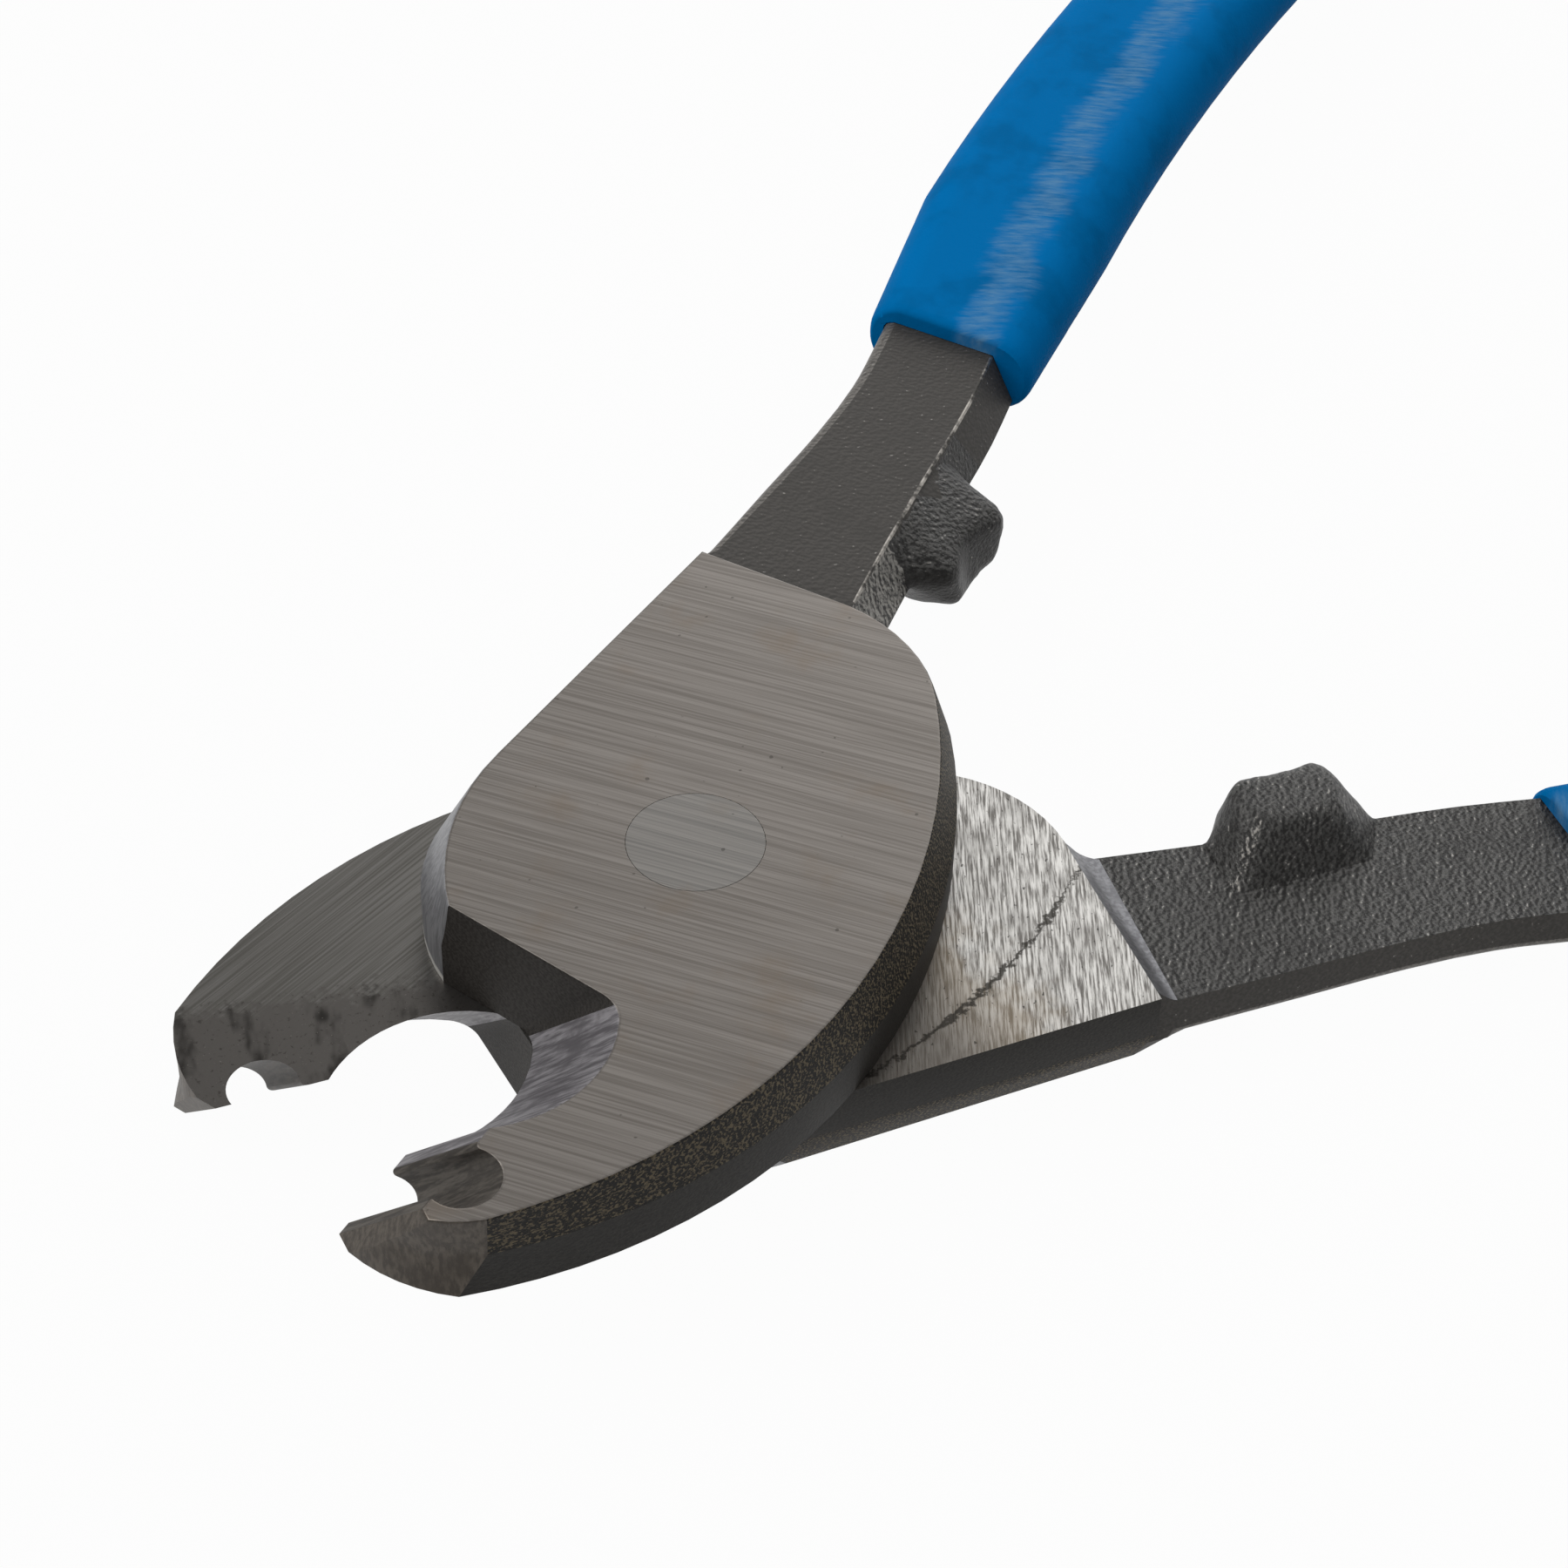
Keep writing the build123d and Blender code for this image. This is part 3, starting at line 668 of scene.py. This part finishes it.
def lever_materials(node_name, finish):
    """One material for each zone of a lever, in the zones' order."""
    here = (node_name, finish)
    grain = finish.grain
    grit = finish.grit
    upright = about_z(0)
    slant = (math.atan2(-BEVEL_SLANT.y, BEVEL_SLANT.z), 0.0, 0.0)
    outer = (finish.bar, finish.bar_dark, finish.painted_glint)
    inner = (finish.inner, finish.inner_dark, finish.painted_glint)
    wrinkled = (finish.wrinkle_highlight, finish.wrinkle_dark, finish.worn)
    shoulder = (finish.shoulder, finish.bar, finish.painted_glint)
    scale = (finish.scale, finish.scale, finish.scale_grain)
    trimmed = (finish.trimmed, finish.trimmed_dark, finish.bar)
    throat = (finish.throat, finish.throat_dark, finish.bar)
    bevel = (finish.bevel, finish.bevel_dark)
    tooth = (finish.tooth, finish.tooth_dark)
    jaw_end = (finish.jaw_end, finish.jaw_end_dark)
    heel = (finish.heel, finish.heel_dark)
    materials = {
        # Dull grey oxide, almost even, with a few painted glints
        "bar": forged_scale(
            "oxidised_forging", *here, outer, grain, bare=0.25, roughness=0.5, depth=0.015 * MM
        ),
        # Deep leathery grain, with painted glints and a painted bright side
        "inner": forged_scale(
            "leathery_forging", *here, inner, grain,
            bare=0.2, roughness=0.4, depth=0.1 * MM, gloss=0.3,
        ),
        # The same grain, with painted shade on the walls and bare on one corner
        "stop": forged_scale(
            "stop_forging", *here, inner, grain,
            bare=0.2, roughness=0.4, depth=0.1 * MM, gloss=0.3, is_stop=True,
        ),
        # Long wrinkles, coloured bright as a painted reflection, with black hollows on their painted
        # shaded side
        "wrinkled": forged_scale(
            "wrinkled_forging", *here, wrinkled, 1.5 * grain,
            bare=0.2, roughness=0.4, depth=0.15 * MM, gloss=0.4, stretch=3.0, turn=upright,
        ),
        # Oxide that handling has rubbed paler, and painted lighter as the highlight on the rounded
        # shoulder
        "shoulder": forged_scale(
            "rubbed_forging", *here, shoulder, grain,
            bare=0.24, roughness=0.45, depth=0.03 * MM, gloss=0.3,
        ),
        # Almost black, rough scale with ochre grains
        "scale": forged_scale(
            "forging_scale", *here, scale, grit, bare=0.02, roughness=0.6, depth=0.04 * MM
        ),
        # Smoother and greyer, where the flash was trimmed off
        "trimmed": forged_scale(
            "trimmed_forging", *here, trimmed, grit, bare=0.3, roughness=0.5, depth=0.02 * MM
        ),
        "ground": ground_steel("ground_steel", *here, finish.ground, finish.ground_dark),
        "sliding": sliding_steel("sliding_steel", *here),
        # Bright, with streaks down the slant
        "bevel": streaked_steel(
            "bevel_steel", *here, bevel, slant, run=3.0 * MM, roughness=0.5, metal=0.4
        ),
        # Brownish and dull, with the same streaks
        "tooth": streaked_steel(
            "tooth_steel", *here, tooth, slant, run=2.0 * MM, roughness=0.5, metal=0.2
        ),
        # Dark, even scale
        "throat": forged_scale(
            "throat_scale", *here, throat, grit, bare=0.3, roughness=0.6, depth=0.03 * MM
        ),
        # Brown smudges on short streaks
        "jaw_end": streaked_steel(
            "smudged_steel", *here, jaw_end, upright, run=0.8 * MM, roughness=0.5, metal=0.4
        ),
        # Satin, with a painted glint line along its bottom edge
        "heel": streaked_steel(
            "satin_steel", *here, heel, upright, run=4.0 * MM, roughness=0.42, metal=0.5, painted_glint_height=0.5
        ),
        # The same satin, brighter
        "slope": streaked_steel(
            "sloped_steel", *here, heel, upright, run=4.0 * MM, roughness=0.4, metal=0.7
        ),
        "worn": worn_steel("worn_steel", *here),
    }
    return [materials[zone] for zone in ZONES]


def shoulder_share(ends, sides):
    """Share of the rounding on the bar's outer edge, which fades in beyond the head."""
    on_bar = all(STEP_END < end.x < BAR_END and end.z > BAR_LEVEL for end in ends)
    if not on_bar or max(s.z for s in sides) < 0.9 or max(s.y for s in sides) < 0.7:
        return 0.0
    middle = (ends[0].x + ends[1].x) / 2
    return min(1.0, FADE_FLOOR + (middle - FADE_STATIONS[0]) / FADE_RUN)


def is_bar_edge(ends, sides):
    """The ridge along the bar's inner side, which runs on over the lug."""
    on_bar = all(RIDGE_START <= end.x <= BAR_END and end.z >= BAR_LEVEL for end in ends)
    if not on_bar or shoulder_share(ends, sides):
        return False
    return max(abs(s.z) for s in sides) > SQUARE_ON


def is_head_edge(ends, sides):
    """The rim of the ground face, apart from the rivet's hole."""
    on_face = all(end.x < HEAD_END and end.z > HEAD_THICKNESS - 0.05 for end in ends)
    return on_face and all(end.xy.length > RIVET_REACH for end in ends)


def is_step_edge(ends, sides):
    """The two edges of the slope where the sliding face ends."""
    on_slope = any(0.3 < s.x < 0.95 and s.z < -0.3 for s in sides)
    by_flat_face = min(s.z for s in sides) < -SQUARE_ON
    at_step = all(STEP_START - 0.2 < end.x < STEP_END + 0.8 for end in ends)
    return on_slope and by_flat_face and at_step and all(end.z < SLOPE_TOP + 0.2 for end in ends)


def is_pocket_edge(ends, sides):
    """The edge of the grip's pocket that lies on the bar's shoulder."""
    return min(s.z for s in sides) < -0.9 and min(s.y for s in sides) < -0.7


def round_lip(piece, to_lever, across, along):
    """Draw the grip's open end in along a quarter of an ellipse."""
    across = across / MM
    along = along / MM
    cut_across(piece, to_lever, [LIP_CENTRE[0] + along * share for share in LIP_CUTS])
    back = to_lever.inverted()
    for vertex in piece.data.vertices:
        place = to_lever @ vertex.co
        core = Vector((place.x, min(max(place.y, LIP_CORE[0]), LIP_CORE[1]), LIP_CENTRE[2]))
        depth = 1 - (place.x - LIP_CENTRE[0]) / along
        if depth > 0 and (place - core).length > LIP_INSIDE:
            inward = across * (1 - math.sqrt(max(0.0, 1 - depth * depth)))
            vertex.co = back @ (place + (core - place).normalized() * inward)


def select_lug(piece, to_lever):
    """Select the stop lug's faces, in edit mode."""
    select_only(piece)
    bpy.ops.object.mode_set(mode="EDIT")
    bpy.ops.mesh.select_mode(type="FACE")
    bpy.ops.mesh.select_all(action="DESELECT")
    bpy.ops.object.mode_set(mode="OBJECT")
    points = piece.data.vertices
    for face in piece.data.polygons:
        face.select = all(is_lug(to_lever @ points[i].co, 0.2) for i in face.vertices)
    bpy.ops.object.mode_set(mode="EDIT")


def split_long_edges(piece, to_lever):
    """Halve those of the stop lug's edges that are too long."""
    select_lug(piece, to_lever)
    bpy.ops.mesh.quads_convert_to_tris()
    bpy.ops.mesh.beautify_fill()
    bpy.ops.object.mode_set(mode="OBJECT")
    points = piece.data.vertices
    too_long = []
    for edge in piece.data.edges:
        a, b = edge.vertices
        if edge.select and (points[a].co - points[b].co).length > LUG_FACET:
            too_long.append(edge.index)
    bpy.ops.object.mode_set(mode="EDIT")
    bpy.ops.mesh.select_mode(type="EDGE")
    bpy.ops.mesh.select_all(action="DESELECT")
    bpy.ops.object.mode_set(mode="OBJECT")
    for index in too_long:
        piece.data.edges[index].select = True
    bpy.ops.object.mode_set(mode="EDIT")
    bpy.ops.mesh.subdivide(number_cuts=1, ngon=False)
    bpy.ops.object.mode_set(mode="OBJECT")


def soften_lug(piece, to_lever):
    """Thin out the stop lug's slivers, divide its facets evenly and smooth them, as forging does."""
    select_lug(piece, to_lever)
    bpy.ops.mesh.quads_convert_to_tris()
    bpy.ops.mesh.decimate(ratio=LUG_KEPT)
    bpy.ops.object.mode_set(mode="OBJECT")
    for _ in range(LUG_HALVINGS):
        split_long_edges(piece, to_lever)
    select_lug(piece, to_lever)
    bpy.ops.mesh.quads_convert_to_tris()
    bpy.ops.mesh.select_less()
    bpy.ops.mesh.vertices_smooth(factor=0.5, repeat=LUG_SMOOTHINGS)
    bpy.ops.object.mode_set(mode="OBJECT")


class CUTTER_OT_levers(bpy.types.Operator):
    """Round and finish the two forged levers"""

    bl_idname = "cutter.levers"
    bl_label = "Levers"

    def execute(self, context):
        shape = context.scene.cutter_shape
        shoulder = ZONES.index("shoulder")
        slope = ZONES.index("slope")
        worn = ZONES.index("worn")
        for node_name in ("upper_lever", "lower_lever"):
            piece = copy_of(node_name, node_name + "_forging")
            to_lever = lever_frame(node_name)
            for material in lever_materials(node_name, context.scene.cutter_finish):
                piece.data.materials.append(material)
            cut_across(piece, to_lever, FADE_STATIONS)
            paint_faces(piece, to_lever, lever_zone)
            soften_lug(piece, to_lever)
            round_edges(piece, to_lever, shoulder_share, shape.bar_shoulder, 4, shoulder)
            round_edges(piece, to_lever, is_bar_edge, shape.bar_edge, 2, worn)
            round_edges(piece, to_lever, is_head_edge, shape.head_edge, 2, -1)
            round_edges(piece, to_lever, is_step_edge, shape.step_edge, 4, slope)
            smooth(piece, 32)
            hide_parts(node_name)
            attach(piece, BODY[node_name])
        return {"FINISHED"}


class CUTTER_OT_rivet(bpy.types.Operator):
    """Finish the rivet"""

    bl_idname = "cutter.rivet"
    bl_label = "Rivet"

    def execute(self, context):
        finish = context.scene.cutter_finish
        rivet = frame["nodes"]["pivot_rivet"]
        rivet.data.materials.clear()
        steel = ground_steel("rivet_steel", "upper_lever", finish, finish.rivet, finish.rivet_dark)
        rivet.data.materials.append(steel)
        return {"FINISHED"}


class CUTTER_OT_grips(bpy.types.Operator):
    """Round and finish the two dipped grips"""

    bl_idname = "cutter.grips"
    bl_label = "Grips"

    def execute(self, context):
        shape = context.scene.cutter_shape
        finish = context.scene.cutter_finish
        for node_name in ("upper_grip", "lower_grip"):
            piece = copy_of(node_name, node_name + "_dip")
            piece.data.materials.append(dipped_vinyl("dipped_vinyl", node_name, finish))
            to_lever = lever_frame(node_name)
            round_edges(piece, to_lever, is_pocket_edge, shape.bar_shoulder, 4, -1)
            round_lip(piece, to_lever, shape.lip_edge, shape.lip_run)
            smooth(piece, 40)
            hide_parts(node_name)
            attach(piece, BODY[node_name])
        return {"FINISHED"}


def seen_rays(tree):
    """1 for the rays that show the background: the camera's, and those off metal or through glass."""
    seen = add(tree, "LightPath", out="Is Camera Ray")
    for ray in ("Is Glossy Ray", "Is Transmission Ray"):
        other = add(tree, "LightPath", out=ray)
        seen = add(tree, "Math", {0: seen, 1: other}, operation="MAXIMUM")
    return seen


def make_floor(stage):
    """A matt floor that looks almost white and keeps the object's shadow."""
    bpy.ops.object.select_all(action="DESELECT")
    bpy.ops.mesh.primitive_plane_add(size=FLOOR_SIZE, location=(0, 0, -FLOOR_GAP))
    floor = bpy.context.active_object
    floor.name = "floor"
    material = bpy.data.materials.new("pale_floor")
    material.use_nodes = True
    tree = material.node_tree
    tree.nodes.clear()
    share = add(tree, "Math", {0: seen_rays(tree), 1: FLOOR_GLOW}, operation="MULTIPLY")
    matt = add(tree, "BsdfDiffuse", {"Color": stage.floor})
    glow = add(tree, "Emission", {"Color": WHITE, "Strength": 1.0})
    mixed = add(tree, "MixShader", {0: share, 1: matt, 2: glow})
    add(tree, "OutputMaterial", {"Surface": mixed})
    floor.data.materials.append(material)


def make_sky(scene, stage):
    """Soft light that grows towards the zenith, with a white horizon for the rays that show it."""
    world = bpy.data.worlds.new("studio")
    scene.world = world
    world.use_nodes = True
    tree = world.node_tree
    tree.nodes.clear()
    height = add(tree, "SeparateXYZ", {0: add(tree, "TexCoord", out="Generated")}, out="Z")
    strength = add(tree, "MapRange", {0: height, 3: stage.horizon, 4: stage.zenith})
    low = add(tree, "MapRange", {0: height, 1: SKY_TOP, 2: SKY_TOP / 2})
    share = add(tree, "Math", {0: seen_rays(tree), 1: low}, operation="MULTIPLY")
    strength = add(tree, "MapRange", {0: share, 3: strength, 4: 1.0})
    sky = add(tree, "Background", {"Color": WHITE, "Strength": strength})
    add(tree, "OutputWorld", {"Surface": sky})


def make_lamp(name, place, size, energy):
    """A soft square lamp that points at the object."""
    bpy.ops.object.light_add(type="AREA", location=place)
    lamp = bpy.context.active_object
    lamp.name = name
    lamp.data.shape = "SQUARE"
    lamp.data.size = size
    lamp.data.energy = energy
    lamp.rotation_euler = (LAMP_AIM - lamp.location).to_track_quat("-Z", "Y").to_euler()


def make_camera(scene, stage):
    """The camera at the photograph's place and angle."""
    bpy.ops.object.camera_add()
    camera = bpy.context.active_object
    camera.name = "photo_camera"
    axes = (CAMERA_RIGHT, CAMERA_UP, CAMERA_RIGHT.cross(CAMERA_UP))
    turn = Matrix(axes).transposed().to_4x4()
    camera.matrix_world = Matrix.Translation(stage.camera_place) @ turn
    camera.data.sensor_width = 36.0
    camera.data.lens = stage.lens
    camera.data.clip_start = 0.005
    scene.camera = camera


class CUTTER_OT_stage(bpy.types.Operator):
    """Set the floor, the light and the camera"""

    bl_idname = "cutter.stage"
    bl_label = "Stage"

    def execute(self, context):
        scene = context.scene
        stage = scene.cutter_stage
        scene.view_settings.view_transform = "Standard"
        make_floor(stage)
        make_sky(scene, stage)
        make_lamp("key_lamp", KEY_PLACE, KEY_SIZE, stage.key)
        make_lamp("back_lamp", BACK_PLACE, BACK_SIZE, stage.back)
        make_camera(scene, stage)
        return {"FINISHED"}


class CUTTER_PT_panel(bpy.types.Panel):
    """Lists the cutter's steps and settings"""

    bl_label = "Cable cutter"
    bl_space_type = "VIEW_3D"
    bl_region_type = "UI"
    bl_category = "Cutter"

    def draw(self, context):
        for step in OPERATORS:
            self.layout.operator(step.bl_idname)
        for group in GROUPS:
            settings = getattr(context.scene, group)
            for name in settings.bl_rna.properties.keys():
                if name not in ("rna_type", "name"):
                    self.layout.prop(settings, name)


GROUPS = {"cutter_shape": CutterShape, "cutter_finish": CutterFinish, "cutter_stage": CutterStage}
OPERATORS = (CUTTER_OT_levers, CUTTER_OT_rivet, CUTTER_OT_grips, CUTTER_OT_stage)


def register():
    for cls in (*GROUPS.values(), *OPERATORS, CUTTER_PT_panel):
        bpy.utils.register_class(cls)
    for name, group in GROUPS.items():
        setattr(bpy.types.Scene, name, bpy.props.PointerProperty(type=group))


def unregister():
    for name in GROUPS:
        delattr(bpy.types.Scene, name)
    for cls in (CUTTER_PT_panel, *OPERATORS, *GROUPS.values()):
        bpy.utils.unregister_class(cls)


def main():
    register()
    bpy.ops.cutter.levers()
    bpy.ops.cutter.rivet()
    bpy.ops.cutter.grips()
    bpy.ops.cutter.stage()


if __name__ == "__main__":
    main()
